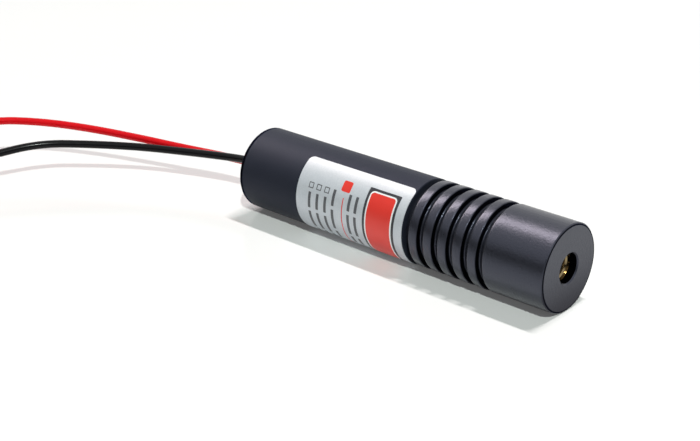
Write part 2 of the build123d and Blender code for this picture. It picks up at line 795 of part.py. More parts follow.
with BuildPart() as black_bare_end:
    with BuildSketch(black_tail_plane.offset(black_tail_length)):
        Circle(core_radius)
    extrude(amount=bare_end_length)
    fillet(black_bare_end.edges().group_by(Axis.X)[-1], core_radius / 2)
black_bare_end.part.label = "black_bare_end"

# Tie round the coil, a strap drawn through its head
tie_reach = math.radians(tie_angle)
tie_outward = (math.cos(tie_reach), math.sin(tie_reach), 0)
tie_along = (-math.sin(tie_reach), math.cos(tie_reach), 0)
tie_plane = Plane(
    origin=on_coil(coil_middle_radius, tie_angle, coil_middle_z), x_dir=tie_outward, z_dir=tie_along
)
tie_inner_width = coil_section_width + 2 * tie_gap
tie_inner_height = coil_section_height + 2 * tie_gap
tie_outer_width = tie_inner_width + 2 * tie_thickness
tie_outer_height = tie_inner_height + 2 * tie_thickness
tie_head_offset = (tie_inner_width + tie_head_length) / 2
with BuildPart() as coil_tie:
    with BuildSketch(tie_plane):
        RectangleRounded(tie_outer_width, tie_outer_height, coil_round + tie_thickness)
        RectangleRounded(tie_inner_width, tie_inner_height, coil_round, mode=Mode.SUBTRACT)
    extrude(amount=tie_width / 2, both=True)
    with BuildSketch(tie_plane):
        with Locations((tie_head_offset, 0)):
            Rectangle(tie_head_length, tie_head_height)
    extrude(amount=tie_head_width / 2, both=True)
    fillet(coil_tie.faces().sort_by(Axis(tie_plane.origin, tie_outward))[-1].edges(), tie_head_round)
coil_tie.part.label = "coil_tie"

# Leads outside, each from the grommet, over the surface and down onto the top of the coil
red_route = [
    (exit_x, red_side, red_height),
    (exit_x - lead_exit_run, red_side, red_height),
    (-46, 0.77, 6.93),
    (-56.5, -2.6, 7.33),
    (-67.2, -6.4, 8.13),
    (-77.9, -10.6, 8.83),
    (-87.5, -15.6, 9.33),
    (-95.4, -22.6, 9.7),
    (-99.6, -31.3, 7.7),
    (-99.4, -40, 4.6),
    before_coil(coil_outer_turn_radius, red_join_angle, red_join_z, red_join_run),
    on_coil(coil_outer_turn_radius, red_join_angle, red_join_z),
]
black_route = [
    (exit_x, black_side, black_height),
    (exit_x - lead_exit_run, black_side, black_height),
    (-44.5, -0.77, 7.85),
    (-54.8, -3.9, 7.35),
    (-64.4, -8, 7.2),
    (-72.8, -14.4, 7.5),
    (-80.4, -21.2, 7.7),
    (-84.8, -30.2, 6.6),
    before_coil(coil_inner_turn_radius, black_join_angle, black_join_z, black_join_run),
    on_coil(coil_inner_turn_radius, black_join_angle, black_join_z),
]

with BuildPart() as red_lead:
    with BuildLine() as red_line:
        FilletPolyline(*red_route, radius=bend_radii(red_route))
    with BuildSketch(Plane(origin=red_line.line @ 0, z_dir=red_line.line % 0)):
        Circle(lead_radius)
    sweep(path=red_line.wires()[0])
red_lead.part.label = "red_lead"

with BuildPart() as black_lead:
    with BuildLine() as black_line:
        FilletPolyline(*black_route, radius=bend_radii(black_route))
    with BuildSketch(Plane(origin=black_line.line @ 0, z_dir=black_line.line % 0)):
        Circle(lead_radius)
    sweep(path=black_line.wires()[0])
black_lead.part.label = "black_lead"

# Sticker wrapped round the rear tube, from high on one side to low under it
label_start = right_angle + label_top_angle
label_span = label_bottom_angle - label_top_angle
foil_radius = barrel_radius + label_adhesive
with BuildPart() as label:
    with BuildSketch(across(rear_x + label_setback)):
        with BuildLine():
            inner = CenterArc((0, 0), foil_radius, label_start, label_span)
            outer = CenterArc((0, 0), foil_radius + label_thickness, label_start, label_span)
            Line(outer @ 0, inner @ 0)
            Line(outer @ 1, inner @ 1)
        make_face()
    extrude(amount=label_length)
    fillet(label.edges().filter_by(lambda edge: edge.length < 2 * label_thickness), label_corner_radius)
label.part.label = "label"

pieces = [
    rear_tube, heatsink_head, rear_cap, cable_grommet, label,
    diode_block, lens_cell, collimating_lens, lens_keeper, focus_spring,
    diode_header, laser_chip, diode_can, diode_window, diode_pins, diode_ring,
    board_liner, driver_board, driver_chip, power_transistor, trimmer_body, trimmer_rotor,
    filter_capacitor, guard_rectifier, chip_resistors, chip_capacitors,
    lead_cores, solder_joints, red_lead_inside, black_lead_inside,
    red_lead, black_lead, lead_coil, red_bare_end, black_bare_end, coil_tie,
]

os.makedirs("parts", exist_ok=True)
for piece in pieces:
    export_step(piece.part, f"parts/{piece.part.label}.step")

report_lead("red lead", red_route, red_lead.part)
report_lead("black lead", black_route, black_lead.part)
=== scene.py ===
"""Laser diode module: a black anodised barrel with a finned head, a foil sticker and two leads.

Metres, in the part's own frame: +X along the beam, +Z up, and the origin on the surface that the
barrel lies on, below the middle of the barrel.
"""

from __future__ import annotations

import logging
import math
from collections.abc import Sequence
from dataclasses import dataclass, field
from enum import Enum

import bmesh
import bpy
from mathutils import Matrix, Vector


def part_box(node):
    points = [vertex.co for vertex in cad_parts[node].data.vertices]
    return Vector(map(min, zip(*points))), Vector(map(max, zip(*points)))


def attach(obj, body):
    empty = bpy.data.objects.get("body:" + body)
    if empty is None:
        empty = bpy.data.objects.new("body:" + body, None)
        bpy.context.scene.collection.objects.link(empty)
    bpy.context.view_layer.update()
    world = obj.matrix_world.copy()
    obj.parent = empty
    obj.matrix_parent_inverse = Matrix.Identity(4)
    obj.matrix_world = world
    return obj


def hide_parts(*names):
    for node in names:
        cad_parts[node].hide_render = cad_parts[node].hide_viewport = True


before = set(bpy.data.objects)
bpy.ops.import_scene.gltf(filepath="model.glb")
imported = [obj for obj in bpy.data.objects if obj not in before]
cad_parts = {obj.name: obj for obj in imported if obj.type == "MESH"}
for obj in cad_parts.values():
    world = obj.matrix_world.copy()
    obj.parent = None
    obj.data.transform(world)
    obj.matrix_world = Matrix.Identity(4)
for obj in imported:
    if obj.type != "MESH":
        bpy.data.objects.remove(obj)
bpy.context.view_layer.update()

LOG = logging.getLogger("laser_diode_module")

MM = 0.001
FULL_TURN = 2 * math.pi
BODY = "root"
WHITE = (1.0, 1.0, 1.0, 1.0)

Tree = bpy.types.NodeTree
Socket = bpy.types.NodeSocket
SocketValue = Socket | float | Sequence[float]
Inputs = dict[str | int, SocketValue]
Span = tuple[float, float]
Place = tuple[float, float, float]


def linear(colour: str, alpha: float = 1.0) -> tuple[float, float, float, float]:
    """Turns an sRGB colour into the linear one that a shader takes.

    Args:
        colour: Hex value, such as "#C81E2D".
        alpha: Opacity to add.

    Returns:
        Linear red, green, blue and alpha.
    """
    levels = [int(colour[start : start + 2], 16) / 255 for start in (1, 3, 5)]
    red, green, blue = (
        level / 12.92 if level <= 0.04045 else ((level + 0.055) / 1.055) ** 2.4 for level in levels
    )
    return red, green, blue, alpha


def add_node(
    tree: Tree,
    kind: str,
    inputs: Inputs | None = None,
    **settings: object,
) -> bpy.types.Node:
    """Adds one node with its settings and links.

    Args:
        tree: Node tree that the node goes into.
        kind: The node's type.
        inputs: Value, or socket to link from, of each input by its name or number.
        settings: Attributes of the node.

    Returns:
        The new node.
    """
    node = tree.nodes.new(kind)
    for name, value in settings.items():
        setattr(node, name, value)
    for key, value in (inputs or {}).items():
        if isinstance(value, bpy.types.NodeSocket):
            tree.links.new(value, node.inputs[key])
        else:
            node.inputs[key].default_value = value
    return node


class Mixture(Enum):
    """What is mixed: the type's name and the numbers of the first input and of the output."""

    VALUE = ("FLOAT", 2, 0)
    COLOUR = ("RGBA", 6, 2)


def mix_socket(
    tree: Tree, mixture: Mixture, share: SocketValue, first: SocketValue, second: SocketValue
) -> Socket:
    """Mixes two values or two colours.

    Args:
        tree: Node tree that the mix goes into.
        mixture: What is mixed.
        share: Share of the second one.
        first: Value or colour at a share of 0.
        second: Value or colour at a share of 1.

    Returns:
        Socket of the mix.
    """
    data_type, first_input, output = mixture.value
    inputs: Inputs = {0: share, first_input: first, first_input + 1: second}
    return add_node(tree, "ShaderNodeMix", inputs, data_type=data_type).outputs[output]


def math_socket(tree: Tree, operation: str, *terms: SocketValue, clamp: bool = False) -> Socket:
    """Adds one sum, product or comparison.

    Args:
        tree: Node tree that it goes into.
        operation: The operation's name.
        terms: Its terms, in order.
        clamp: Whether the result is held between 0 and 1.

    Returns:
        Socket of the result.
    """
    inputs: Inputs = dict(enumerate(terms))
    return add_node(tree, "ShaderNodeMath", inputs, operation=operation, use_clamp=clamp).outputs[0]


def range_socket(
    tree: Tree,
    value: SocketValue,
    source: Span = (0.0, 1.0),
    target: tuple[SocketValue, SocketValue] = (0.0, 1.0),
    smooth: bool = False,
) -> Socket:
    """Carries a value from one range to another and holds it at both ends.

    Args:
        tree: Node tree that it goes into.
        value: The value.
        source: Where the range of the value starts and ends.
        target: What it becomes at the start and at the end.
        smooth: Whether it eases in and out.

    Returns:
        Socket of the new value.
    """
    inputs: Inputs = {
        "Value": value,
        "From Min": source[0],
        "From Max": source[1],
        "To Min": target[0],
        "To Max": target[1],
    }
    easing = "SMOOTHSTEP" if smooth else "LINEAR"
    return add_node(tree, "ShaderNodeMapRange", inputs, interpolation_type=easing).outputs["Result"]


def axis_parts(tree: Tree, place: Socket) -> bpy.types.NodeOutputs:
    """Parts of a place along X, Y and Z."""
    return add_node(tree, "ShaderNodeSeparateXYZ", {0: place}).outputs


def noise_scale(grain_mm: float) -> float:
    """Scale of a noise texture whose grains are this many millimetres across."""
    return 1 / (grain_mm * MM)


def empty_tree(owner: bpy.types.Material | bpy.types.World) -> Tree:
    """Turns on the nodes of a material or world and clears them.

    Args:
        owner: The material or world.

    Returns:
        Its empty node tree.
    """
    owner.use_nodes = True
    owner.node_tree.nodes.clear()
    return owner.node_tree


def add_object(name: str, data: bpy.types.ID) -> bpy.types.Object:
    """Makes an object and puts it in the scene.

    Args:
        name: The object's name.
        data: Its mesh, curve, light or camera.

    Returns:
        The new object.
    """
    made = bpy.data.objects.new(name, data)
    bpy.context.scene.collection.objects.link(made)
    return made


@dataclass(frozen=True)
class BarrelPlaces:
    """Places on the barrel, in metres.

    Attributes:
        rear_x: Its rear end.
        joint_x: Where the tube meets the head.
        front_x: Its front face.
        radius: Its radius.
    """

    rear_x: float
    joint_x: float
    front_x: float
    radius: float

    @classmethod
    def from_frame(cls) -> BarrelPlaces:
        """Reads the barrel's ends and radius from its two turned parts.

        Returns:
            The barrel's places.
        """
        tube_low, tube_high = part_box("rear_tube")
        head_low, head_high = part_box("heatsink_head")
        return cls(tube_low.x, tube_high.x, head_high.x, (head_high.z - head_low.z) / 2)


BARREL = BarrelPlaces.from_frame()


@dataclass(frozen=True)
class GroovePlaces:
    """Places of the head's cooling grooves, in metres.

    Attributes:
        start: Where the first groove starts.
        width: Width of a groove.
        land_width: Width of the land between two grooves.
        depth: Depth of a groove.
        count: Number of grooves.
        edge_reach: How far the rounding of a land's edge reaches along it.
        edge_drop: How far the land falls away at its edge.
        painted_shade_depths: Depths below the lands between which the painted shade comes in.
        cove_lift: Height of the middle of a floor's cove above the floor.
        cove_reach: How far the cove goes up and down from there.
        face_margin: Distance from the front face over which the bore gets no painted shade.
    """

    start: float
    width: float = 1.35 * MM
    land_width: float = 1.83 * MM
    depth: float = 1.2 * MM
    count: int = 6
    edge_reach: float = 0.2 * MM
    edge_drop: float = 0.1 * MM
    painted_shade_depths: Span = (0.12 * MM, 0.22 * MM)
    cove_lift: float = 0.1 * MM
    cove_reach: float = 0.14 * MM
    face_margin: float = 0.23 * MM

    @property
    def pitch(self) -> float:
        """Distance from one groove to the next."""
        return self.width + self.land_width

    @property
    def plain_start(self) -> float:
        """Where the plain part of the head starts."""
        return self.start + self.count * self.pitch - self.land_width


GROOVES = GroovePlaces(start=BARREL.joint_x)

# Painted shade: an almost black colour without gloss, laid on the barrel's end rims and in the head's
# grooves and bore.
PAINTED_SHADE_COLOUR = "#070708"
PAINTED_SHADE_ROUGHNESS = 0.6
# Half the width over which the painted dark rim fades out.
EDGE_FADE = 0.03 * MM
# Octaves of the slow colour noise, and octaves and roughness of the grain.
MOTTLE_DETAIL = 3.0
GRAIN_DETAIL = 4.0
GRAIN_ROUGHNESS = 0.6
# The part of the grain's values that the roughness follows.
GRAIN_RANGE = (0.3, 0.7)
# Share of the tool marks in the grain of a turned surface, and how much they change round the axis.
MARK_SHARE = 0.35
MARK_DRIFT = 0.04


def axis_radius(tree: Tree, parts: bpy.types.NodeOutputs) -> Socket:
    """Works out the distance from the barrel's axis.

    Args:
        tree: Node tree that it goes into.
        parts: Parts of a place along X, Y and Z.

    Returns:
        Socket of the distance.
    """
    height = math_socket(tree, "SUBTRACT", parts["Z"], BARREL.radius)
    across = add_node(tree, "ShaderNodeCombineXYZ", {"Y": parts["Y"], "Z": height}).outputs[0]
    return add_node(tree, "ShaderNodeVectorMath", {0: across}, operation="LENGTH").outputs["Value"]


def step_up(tree: Tree, value: Socket, level: float) -> Socket:
    """Socket that goes from 0 to 1 as a value passes a level."""
    return range_socket(tree, value, (level - EDGE_FADE, level + EDGE_FADE))


class Pattern(Enum):
    """Fine pattern of a surface: the same every way, or with tool marks round the axis."""

    EVEN = "even"
    TURNED = "turned"


@dataclass(frozen=True)
class Finish:
    """Finish of one real material: its colours, gloss and surface pattern.

    Attributes:
        name: Material's name.
        colour: Main colour, sRGB hex.
        shade: Second colour, which a slow noise brings in.
        roughness: Shader roughness.
        metallic: 1 for bare metal.
        ior: Index of refraction of a dielectric.
        pattern: How the surface was made.
        grain_mm: Size of the pattern's grain, or spacing of its lines.
        relief_mm: Height of the pattern.
        mottle_mm: Size of the slow colour noise.
        roughness_spread: How far the grain changes the roughness each way.
        tint: Colour of the dielectric's gloss.
        painted_rim_mm: Reach along the barrel and inward of the painted dark rim at its outer end, where it
            has one.
    """

    name: str
    colour: str
    shade: str
    roughness: float
    metallic: float = 0.0
    ior: float = 1.5
    pattern: Pattern = Pattern.EVEN
    grain_mm: float = 0.3
    relief_mm: float = 0.002
    mottle_mm: float = 3.0
    roughness_spread: float = 0.05
    tint: str = "#FFFFFF"
    painted_rim_mm: Span | None = None

    def material(self) -> bpy.types.Material:
        """Builds the material once and gives the same one on later calls.

        Returns:
            The material.
        """
        known = bpy.data.materials.get(self.name)
        if known is not None:
            return known
        material = bpy.data.materials.new(self.name)
        tree = empty_tree(material)
        place = add_node(tree, "ShaderNodeTexCoord").outputs["Object"]
        grain = self.grain_socket(tree, place)
        colour = self.colour_socket(tree, place)
        roughness = self.roughness_socket(tree, grain)
        metallic: SocketValue = self.metallic
        # Painted shade: where a mask is 1, the colour turns almost black and metallic, so that it gives
        # back almost no light.
        for mask in self.painted_shade_masks(tree, place):
            colour = mix_socket(tree, Mixture.COLOUR, mask, colour, linear(PAINTED_SHADE_COLOUR))
            roughness = mix_socket(tree, Mixture.VALUE, mask, roughness, PAINTED_SHADE_ROUGHNESS)
            metallic = mix_socket(tree, Mixture.VALUE, mask, metallic, 1.0)
        shader = add_node(
            tree,
            "ShaderNodeBsdfPrincipled",
            {
                "Base Color": colour,
                "Roughness": roughness,
                "Normal": self.relief_socket(tree, grain, place),
                "Metallic": metallic,
                "IOR": self.ior,
                "Specular Tint": linear(self.tint),
            },
        )
        self.dress(shader)
        add_node(tree, "ShaderNodeOutputMaterial", {"Surface": shader.outputs["BSDF"]})
        material.diffuse_color = linear(self.colour)
        return material

    def grain_socket(self, tree: Tree, place: Socket) -> Socket:
        """Adds the fine pattern of the surface.

        Args:
            tree: Node tree of the material.
            place: Place on the object.

        Returns:
            Socket of the pattern, from 0 to 1.
        """
        inputs: Inputs = {
            "Vector": place,
            "Scale": noise_scale(self.grain_mm),
            "Detail": GRAIN_DETAIL,
            "Roughness": GRAIN_ROUGHNESS,
        }
        grain = add_node(tree, "ShaderNodeTexNoise", inputs).outputs["Fac"]
        if self.pattern is Pattern.TURNED:
            inputs["Vector"] = self.turned_place(tree, place)
            marks = add_node(tree, "ShaderNodeTexNoise", inputs).outputs["Fac"]
            grain = mix_socket(tree, Mixture.VALUE, MARK_SHARE, grain, marks)
        return grain

    def turned_place(self, tree: Tree, place: Socket) -> Socket:
        """Lays a place out along the axis and out from it, so that a noise makes marks round the axis.

        Args:
            tree: Node tree of the material.
            place: Place on the object.

        Returns:
            Socket of the place laid out in this way.
        """
        parts = axis_parts(tree, place)
        drift = math_socket(tree, "MULTIPLY", parts["Y"], MARK_DRIFT)
        inputs: Inputs = {"X": parts["X"], "Y": axis_radius(tree, parts), "Z": drift}
        return add_node(tree, "ShaderNodeCombineXYZ", inputs).outputs[0]

    def colour_socket(self, tree: Tree, place: Socket) -> Socket:
        """Mixes the main colour and the shade by a slow noise.

        Args:
            tree: Node tree of the material.
            place: Place on the object.

        Returns:
            Socket of the colour.
        """
        inputs: Inputs = {"Vector": place, "Scale": noise_scale(self.mottle_mm), "Detail": MOTTLE_DETAIL}
        noise = add_node(tree, "ShaderNodeTexNoise", inputs).outputs["Fac"]
        return mix_socket(tree, Mixture.COLOUR, noise, linear(self.colour), linear(self.shade))

    def roughness_socket(self, tree: Tree, grain: Socket) -> Socket:
        """Lets the roughness follow the grain, a little each way."""
        target = (self.roughness - self.roughness_spread, self.roughness + self.roughness_spread)
        return range_socket(tree, grain, GRAIN_RANGE, target)

    def relief_socket(self, tree: Tree, grain: Socket, place: Socket) -> Socket:
        """Turns the grain into relief, over the form that it lies on.

        Args:
            tree: Node tree of the material.
            grain: The surface's fine pattern.
            place: Place on the object.

        Returns:
            Socket of the bumped normal.
        """
        inputs: Inputs = {"Height": grain, "Distance": self.relief_mm * MM, "Strength": 1.0}
        form = self.form_socket(tree, place)
        if form is not None:
            inputs["Normal"] = form
        return add_node(tree, "ShaderNodeBump", inputs).outputs["Normal"]

    def form_socket(self, tree: Tree, place: Socket) -> Socket | None:
        """Normal of the form that the grain lies on, where it isn't the surface's own."""
        return None

    def painted_shade_masks(self, tree: Tree, place: Socket) -> list[Socket]:
        """Sockets that are 1 where painted shade is laid."""
        return [] if self.painted_rim_mm is None else [self.painted_rim_socket(tree, place, *self.painted_rim_mm)]

    def painted_rim_socket(self, tree: Tree, place: Socket, along_mm: float, inward_mm: float) -> Socket:
        """Finds the outer edges at the barrel's two ends, where a dark rim is painted to stand for the
        chamfer's dark reflection.

        Args:
            tree: Node tree of the material.
            place: Place on the object.
            along_mm: Reach of an edge along the barrel.
            inward_mm: Reach of an edge towards the axis.

        Returns:
            Socket that is 1 on the edges and 0 elsewhere.
        """
        parts = axis_parts(tree, place)
        middle = (BARREL.front_x + BARREL.rear_x) / 2
        half_length = (BARREL.front_x - BARREL.rear_x) / 2
        from_middle = math_socket(tree, "SUBTRACT", parts["X"], middle)
        reach = math_socket(tree, "ABSOLUTE", from_middle)
        near_end = step_up(tree, reach, half_length - along_mm * MM)
        near_rim = step_up(tree, axis_radius(tree, parts), BARREL.radius - inward_mm * MM)
        return math_socket(tree, "MULTIPLY", near_end, near_rim)

    def dress(self, shader: bpy.types.Node) -> None:
        """Sets what one kind of material has beyond the others, on the shader's own sockets."""


@dataclass(frozen=True)
class Finned(Finish):
    """Finish of the head: painted shade in its grooves and bore, and rounded along its lands."""

    def form_socket(self, tree: Tree, place: Socket) -> Socket:
        """Lets each land fall away towards its edges, as tumbling leaves them.

        Args:
            tree: Node tree of the material.
            place: Place on the head.

        Returns:
            Socket of the rounded normal.
        """
        steps: tuple[tuple[str | float, ...], ...] = (
            ("MINIMUM", GROOVES.plain_start + GROOVES.land_width / 2),
            ("SUBTRACT", GROOVES.start + GROOVES.width + GROOVES.land_width / 2),
            ("ADD", GROOVES.pitch / 2),
            ("FLOORED_MODULO", GROOVES.pitch),
            ("SUBTRACT", GROOVES.pitch / 2),
            ("ABSOLUTE",),
            ("SUBTRACT", GROOVES.land_width / 2),
            ("MINIMUM", 0.0),
            ("DIVIDE", GROOVES.edge_reach),
            ("EXPONENT",),
            ("MULTIPLY", -GROOVES.edge_drop),
        )
        height = axis_parts(tree, place)["X"]
        for operation, *values in steps:
            height = math_socket(tree, operation, height, *values)
        inputs: Inputs = {"Height": height, "Distance": 1.0, "Strength": 1.0}
        return add_node(tree, "ShaderNodeBump", inputs).outputs["Normal"]

    def painted_shade_masks(self, tree: Tree, place: Socket) -> list[Socket]:
        """Sockets that are 1 where painted shade is laid, the grooves and the bore among them."""
        return [*super().painted_shade_masks(tree, place), self.painted_recess_socket(tree, place)]

    def painted_recess_socket(self, tree: Tree, place: Socket) -> Socket:
        """Finds the walls of the grooves and the bore, without the coved floors, for the painted shade.

        Args:
            tree: Node tree of the material.
            place: Place on the head.

        Returns:
            Socket that is 1 on the walls and in the bore and 0 elsewhere.
        """
        parts = axis_parts(tree, place)
        radius = axis_radius(tree, parts)
        behind = math_socket(tree, "LESS_THAN", parts["X"], BARREL.front_x - GROOVES.face_margin)
        shallow, deep = GROOVES.painted_shade_depths
        below = range_socket(tree, radius, (BARREL.radius - shallow, BARREL.radius - deep))
        inside = math_socket(tree, "MULTIPLY", behind, below)
        cove_radius = BARREL.radius - GROOVES.depth + GROOVES.cove_lift
        cove = math_socket(tree, "COMPARE", radius, cove_radius, GROOVES.cove_reach)
        outside_cove = math_socket(tree, "SUBTRACT", 1.0, cove)
        return math_socket(tree, "MULTIPLY", inside, outside_cove)


@dataclass(frozen=True)
class Glass(Finish):
    """Clear optical glass."""

    def dress(self, shader: bpy.types.Node) -> None:
        """Lets light through."""
        shader.inputs["Transmission Weight"].default_value = 1.0


@dataclass(frozen=True)
class Lacquered(Finish):
    """A surface under a clear layer.

    Attributes:
        coat: Weight of the clear layer.
        coat_roughness: Its roughness.
    """

    coat: float = 0.5
    coat_roughness: float = 0.15

    def dress(self, shader: bpy.types.Node) -> None:
        """Adds the clear layer."""
        shader.inputs["Coat Weight"].default_value = self.coat
        shader.inputs["Coat Roughness"].default_value = self.coat_roughness


# Turned aluminium, anodised and dyed black: a hard dark oxide with satin gloss and fine tool marks.
# The real marks are 0.1 mm apart, too fine to show, so they are drawn at 0.4 mm.
# Its front rim, grooves and bore carry painted shade.
HEAD_ANODISING = Finned(
    "anodised_aluminium_satin", "#131418", "#17181D", 0.3, ior=1.7, pattern=Pattern.TURNED, grain_mm=0.4,
    relief_mm=0.05, roughness_spread=0.04, tint="#D2D8F5", painted_rim_mm=(0.08, 0.45),
)
# The same aluminium bead blasted before anodising, so it scatters and looks charcoal.
# Its rear rim carries a painted dark line.
TUBE_ANODISING = Finish(
    "anodised_aluminium_matte", "#1C1F28", "#20232C", 0.56, ior=1.3, grain_mm=0.18, relief_mm=0.004,
    roughness_spread=0.06, tint="#C6CFF6", painted_rim_mm=(0.85, 0.55),
)
# The same aluminium, turned, on the cap in the barrel's rear end.
CAP_ANODISING = Finish(
    "anodised_aluminium_cap", "#151619", "#1B1C20", 0.42, ior=1.6, pattern=Pattern.TURNED, relief_mm=0.004,
    tint="#D9DDF2",
)
# Polyester foil with a silver-white top coat, semi-matte, with a fine sparkle.
LABEL_FOIL = Finish(
    "polyester_label_foil", "#CBCFD5", "#B3B9C1", 0.38, metallic=0.1, grain_mm=0.25, relief_mm=0.004,
    mottle_mm=0.3,
)
# Screen-printed ink on the foil, thin and slightly glossy.
RED_INK = Finish("printed_ink_red", "#E2382C", "#D93026", 0.4, relief_mm=0.001)
DARK_INK = Finish("printed_ink_charcoal", "#2B2B31", "#303036", 0.42, relief_mm=0.001)
GREY_INK = Finish("printed_ink_grey", "#4A4B50", "#55565B", 0.45, relief_mm=0.001)
WHITE_INK = Finish("printed_ink_white", "#EEF0F2", "#E8EAEC", 0.4, relief_mm=0.001)
# Turned brass, bare, with a warm yellow gloss.
BRASS = Finish(
    "brass_turned", "#7E6C50", "#64553F", 0.32, metallic=1.0, pattern=Pattern.TURNED, relief_mm=0.004
)
# The same brass on the lens cell and its keeper, burnished by the spanner, so that its edges glint.
RING_BRASS = Finish(
    "brass_burnished", "#A08E6C", "#74654A", 0.14, metallic=1.0, pattern=Pattern.TURNED, relief_mm=0.01
)
# Thin gold over nickel on the diode's steel header and its pins.
GILT = Finish("gold_plated_steel", "#E3B85C", "#D9AC50", 0.2, metallic=1.0, relief_mm=0.001)
# Bright nickel on drawn or stamped steel, slightly warm.
NICKEL = Finish("nickel_plated_steel", "#BDBBB4", "#B2B0AA", 0.25, metallic=1.0)
# Cold-drawn stainless wire.
SPRING_STEEL = Finish("spring_steel_wire", "#A3A3A6", "#98989B", 0.3, metallic=1.0)
# Drawn aluminium can, bare.
CAN_ALUMINIUM = Finish("capacitor_can_aluminium", "#C9CACC", "#BDBEC1", 0.3, metallic=1.0)
# Tin on copper, bright but soft.
TIN = Finish("tinned_copper", "#C9C8C4", "#BDBBB6", 0.28, metallic=1.0, grain_mm=0.2)
# Solder as it set, smooth and bright.
SOLDER = Finish("solder_tin", "#C6C7C8", "#B9BABC", 0.22, metallic=1.0, grain_mm=0.5)
# Optical glass of the lens and the diode's window.
LENS_GLASS = Glass(
    "optical_glass", "#FFFFFF", "#FFFFFF", 0.02, ior=1.6, relief_mm=0.0, roughness_spread=0.0
)
# Gallium arsenide of the laser chip, dark and glossy.
CHIP_CRYSTAL = Finish("chip_crystal", "#5A5B60", "#4C4D52", 0.2, ior=3.3)
# Soft PVC pulled over the core: even colour with satin gloss.
RED_PVC = Finish("pvc_insulation_red", "#D80C18", "#CE0A15", 0.22, ior=1.25, grain_mm=0.8, relief_mm=0.004)
BLACK_PVC = Finish(
    "pvc_insulation_black", "#08080A", "#0B0B0D", 0.22, ior=1.25, grain_mm=0.8, relief_mm=0.004
)
# Black moulded rubber, matte.
RUBBER = Finish("moulded_rubber", "#1A1A1A", "#202020", 0.6, grain_mm=0.4, relief_mm=0.006)
# Undyed nylon, milky under a smooth skin.
NYLON = Lacquered("nylon_natural", "#DEDBD0", "#D5D2C6", 0.35, grain_mm=0.8, relief_mm=0.004, coat=0.2)
# Amber polyimide film, smooth and glossy.
LINER_FILM = Lacquered("polyimide_film", "#A5701F", "#96631A", 0.3, grain_mm=0.8, coat=0.6)
# Green solder mask over woven glass laminate.
SOLDER_MASK = Lacquered(
    "solder_mask_green", "#1B5A34", "#174D2D", 0.35, grain_mm=0.5, relief_mm=0.006, coat=0.5
)
# Moulded epoxy of the chips' packages, filled and matte.
PACKAGE_EPOXY = Finish("package_epoxy_black", "#1E1E20", "#252527", 0.55, grain_mm=0.2, relief_mm=0.004)
# Thermoplastic of the trimmer's body.
TRIMMER_PLASTIC = Finish("trimmer_plastic_blue", "#2B5FA3", "#27568F", 0.4, grain_mm=0.4)
# Glazed resistive film on the chip resistors.
RESISTOR_FILM = Finish("resistor_film_black", "#1D1D1F", "#2A2A2C", 0.35)
# Fired ceramic of the chip capacitors.
CAPACITOR_CERAMIC = Finish("capacitor_ceramic_tan", "#A88A61", "#9A7C54", 0.45)

NODE_FINISHES: dict[str, Finish] = {
    "rear_tube": TUBE_ANODISING,
    "heatsink_head": HEAD_ANODISING,
    "rear_cap": CAP_ANODISING,
    "cable_grommet": RUBBER,
    "label": LABEL_FOIL,
    "diode_block": BRASS,
    "lens_cell": RING_BRASS,
    "lens_keeper": RING_BRASS,
    "diode_ring": BRASS,
    "collimating_lens": LENS_GLASS,
    "diode_window": LENS_GLASS,
    "focus_spring": SPRING_STEEL,
    "diode_header": GILT,
    "diode_pins": GILT,
    "diode_can": NICKEL,
    "laser_chip": CHIP_CRYSTAL,
    "board_liner": LINER_FILM,
    "driver_board": SOLDER_MASK,
    "driver_chip": PACKAGE_EPOXY,
    "power_transistor": PACKAGE_EPOXY,
    "guard_rectifier": PACKAGE_EPOXY,
    "trimmer_body": TRIMMER_PLASTIC,
    "trimmer_rotor": NICKEL,
    "filter_capacitor": CAN_ALUMINIUM,
    "chip_resistors": RESISTOR_FILM,
    "chip_capacitors": CAPACITOR_CERAMIC,
    "lead_cores": TIN,
    "solder_joints": SOLDER,
    "red_lead_inside": RED_PVC,
    "black_lead_inside": BLACK_PVC,
    "coil_tie": NYLON,
}


def dress_nodes() -> None:
    """Gives every solid that isn't replaced its finish."""
    for node, finish in NODE_FINISHES.items():
        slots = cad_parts[node].data.materials
        slots.clear()
        slots.append(finish.material())
        LOG.info("%s: %s", node, finish.name)


def add_piece(
    name: str, data: bpy.types.Mesh | bpy.types.Curve, finish: Finish
) -> bpy.types.Object:
    """Puts a new piece on the object and gives it its finish.

    Args:
        name: Piece's name.
        data: Its mesh or curve.
        finish: Its finish.

    Returns:
        The new object.
    """
    piece = add_object(name, data)
    data.materials.append(finish.material())
    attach(piece, BODY)
    LOG.info("%s: %s", name, finish.name)
    return piece


def round_curve(name: str, radius_mm: float, roundness: int) -> bpy.types.Curve:
    """Makes an empty curve with a round section and closed ends.

    Args:
        name: The curve's name.
        radius_mm: Radius of its section.
        roundness: How finely the section is divided.

    Returns:
        The new curve.
    """
    curve = bpy.data.curves.new(name, "CURVE")
    curve.dimensions = "3D"
    curve.bevel_depth = radius_mm * MM
    curve.bevel_resolution = roundness
    curve.use_fill_caps = True
    return curve


def add_spline(curve: bpy.types.Curve, kind: str, points: Sequence[Vector]) -> bpy.types.Spline:
    """Adds one run to a curve.

    Args:
        curve: The curve.
        kind: The run's type.
        points: Its control points, in millimetres.

    Returns:
        The new run.
    """
    spline = curve.splines.new(kind)
    spline.points.add(len(points) - 1)
    for target, point in zip(spline.points, points):
        target.co = (*(point * MM), 1.0)
    return spline


